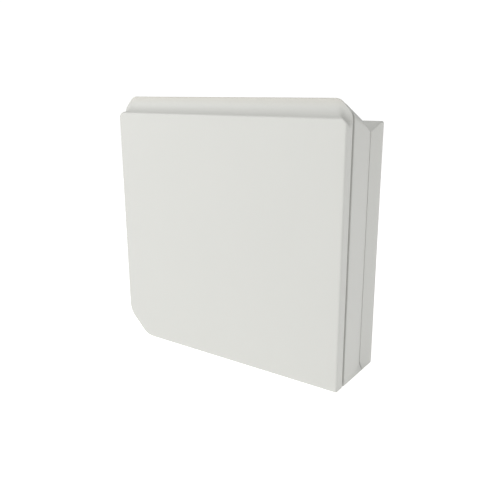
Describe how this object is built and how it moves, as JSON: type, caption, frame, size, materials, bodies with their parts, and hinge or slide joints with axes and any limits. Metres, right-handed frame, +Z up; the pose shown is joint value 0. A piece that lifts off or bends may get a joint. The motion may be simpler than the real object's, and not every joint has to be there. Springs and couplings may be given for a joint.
{
  "type": "flat panel directional antenna",
  "caption": "Closed square directional panel antenna: white moulded housing with a coved top lip and grooved sides, patch array inside, coaxial jack and tilting mast bracket behind.",
  "frame": {"origin": "bottom centre of the whole object's box; the housing stands on its bottom edge", "axes": "the radiating face looks along -Y, +X is to the right of it seen from the front, +Z is up"},
  "size_m": [0.318, 0.185, 0.3164],
  "materials": {
    "white_plastic": "satin moulded off-white, very fine texture",
    "vent_plastic": "matte dark grey",
    "seal_rubber": "matte pale grey silicone",
    "natural_nylon": "translucent off-white",
    "circuit_board": "green solder mask",
    "copper": "bright copper",
    "sheet_aluminium": "mill finish",
    "bracket_aluminium": "satin",
    "cast_aluminium": "as cast",
    "stainless_steel": "bright",
    "plated_brass": "nickel plated",
    "brass": "gold plated",
    "insulator": "white",
    "cable_jacket": "brown translucent"
  },
  "bodies": {
    "housing": {"antenna_frame": "white_plastic", "backing_plate": "sheet_aluminium", "bracket_bolt_1": "stainless_steel", "bracket_bolt_2": "stainless_steel", "bracket_bolt_3": "stainless_steel", "bracket_bolt_4": "stainless_steel", "case_screw_1": "stainless_steel", "case_screw_2": "stainless_steel", "case_screw_3": "stainless_steel", "case_screw_4": "stainless_steel", "case_screw_5": "stainless_steel", "case_screw_6": "stainless_steel", "connector_body": "plated_brass", "connector_contact": "brass", "connector_insulator": "insulator", "connector_nut": "plated_brass", "connector_seal": "seal_rubber", "director_patch_1": "copper", "director_patch_2": "copper", "director_patch_3": "copper", "director_patch_4": "copper", "driven_patch_1": "copper", "driven_patch_2": "copper", "driven_patch_3": "copper", "driven_patch_4": "copper", "feed_board": "circuit_board", "feed_lines": "copper", "front_radome": "white_plastic", "housing_gasket": "seal_rubber", "jumper_cable": "cable_jacket", "panel_bracket": "bracket_aluminium", "pivot_bolt": "stainless_steel", "pivot_nut": "stainless_steel", "radome_gasket": "seal_rubber", "rear_case": "white_plastic", "reflector_plate": "sheet_aluminium", "reflector_screw_1": "stainless_steel", "reflector_screw_2": "stainless_steel", "reflector_screw_3": "stainless_steel", "reflector_screw_4": "stainless_steel", "stack_post_1": "natural_nylon", "stack_post_2": "natural_nylon", "stack_post_3": "natural_nylon", "stack_post_4": "natural_nylon", "vent_plug": "vent_plastic", "vent_seal": "seal_rubber"},
    "mast_mount": {"mast_bracket": "bracket_aluminium", "saddle_upper": "cast_aluminium", "saddle_lower": "cast_aluminium", "u_bolt_upper": "stainless_steel", "u_bolt_lower": "stainless_steel", "u_bolt_nut_upper_left": "stainless_steel", "u_bolt_nut_upper_right": "stainless_steel", "u_bolt_nut_lower_left": "stainless_steel", "u_bolt_nut_lower_right": "stainless_steel", "lock_bolt_left": "stainless_steel", "lock_bolt_right": "stainless_steel", "lock_nut_left": "stainless_steel", "lock_nut_right": "stainless_steel"}
  },
  "joints": [
    {"name": "elevation_tilt", "type": "hinge", "parent": "housing", "child": "mast_mount", "pos_m": [0, 0.024, 0.15], "axis": [1, 0, 0], "range_deg": [-20, 20]}
  ]
}
